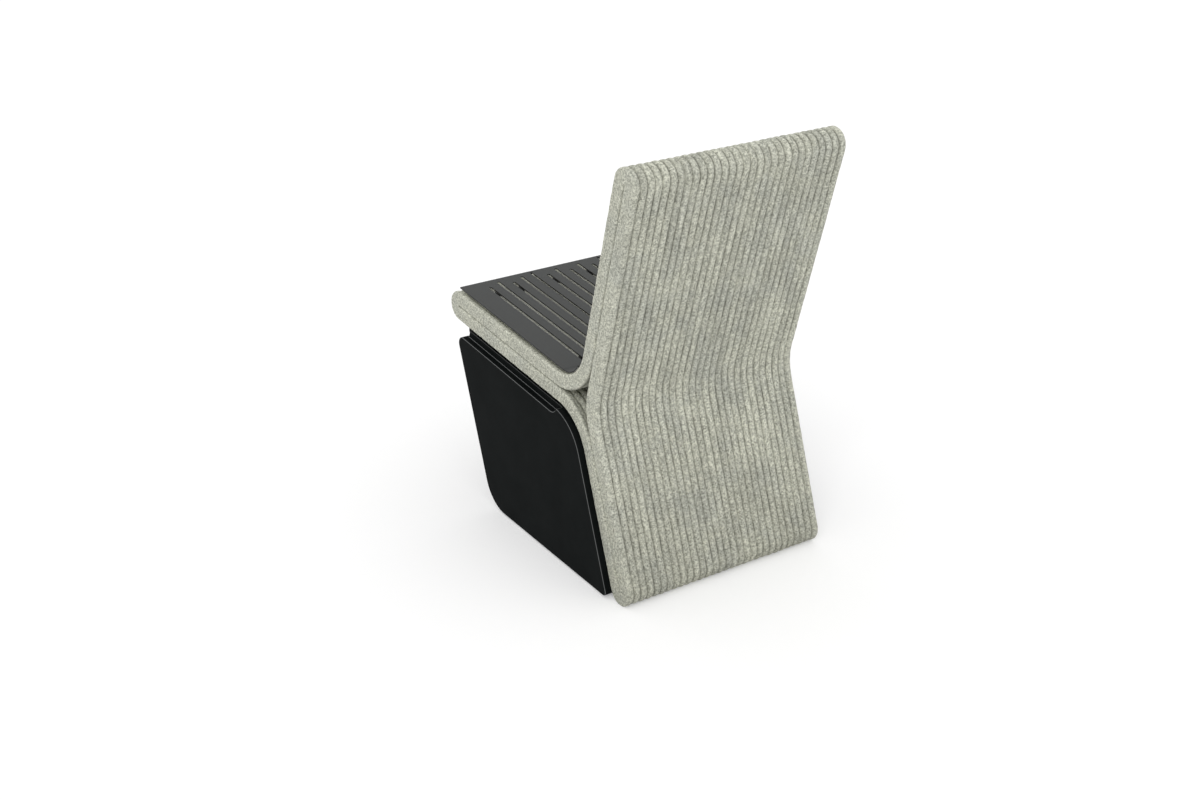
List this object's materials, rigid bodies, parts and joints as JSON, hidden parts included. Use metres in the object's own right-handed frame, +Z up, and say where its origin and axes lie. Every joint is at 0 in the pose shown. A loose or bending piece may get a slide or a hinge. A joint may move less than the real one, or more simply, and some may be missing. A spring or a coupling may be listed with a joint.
{
  "type": "bench with backrest",
  "caption": "Short outdoor bench with backrest: a ribbed printed-concrete loop of seat, back and leg, slotted black seat panels, and a storage box with tilting side covers.",
  "frame": {"origin": "middle of the bounding box in plan, on the floor", "axes": "+X towards the sitter's left along the bench, -Y the way the sitter faces, +Z up"},
  "size_m": [0.488, 0.672, 0.861],
  "materials": {
    "concrete": "rough speckled grey-green printed concrete",
    "panel": "matt black powder coat",
    "box": "satin black powder coat",
    "steel": "stainless, plain",
    "rubber": "matt black"
  },
  "bodies": {
    "bench": {"printed_concrete_body": "concrete", "seat_panel_left": "panel", "seat_panel_middle": "panel", "seat_panel_right": "panel", "panel_studs": "steel", "panel_spacers": "rubber", "box_shell": "box", "box_end_frame_left": "box", "box_end_frame_right": "box", "box_middle_frame": "box", "bedding_strips": "rubber", "box_screws": "steel", "box_washers": "steel", "concrete_inserts": "steel", "box_pads": "rubber", "hinge_blocks_left": "steel", "hinge_blocks_right": "steel", "hinge_screws_left": "steel", "hinge_screws_right": "steel", "hinge_pins_left": "steel", "hinge_pins_right": "steel", "catch_bodies_left": "rubber", "catch_bodies_right": "rubber"},
    "left_cover": {"side_cover_left": "box", "hinge_leaves_left": "steel", "strike_plates_left": "steel"},
    "right_cover": {"side_cover_right": "box", "hinge_leaves_right": "steel", "strike_plates_right": "steel"}
  },
  "joints": [
    {"name": "left_cover_tilt", "type": "hinge", "parent": "bench", "child": "left_cover", "pos_m": [0.2375, 0, 0.01], "axis": [0, 1, 0], "range_deg": [0, 80]},
    {"name": "right_cover_tilt", "type": "hinge", "parent": "bench", "child": "right_cover", "pos_m": [-0.2375, 0, 0.01], "axis": [0, -1, 0], "range_deg": [0, 80]}
  ]
}
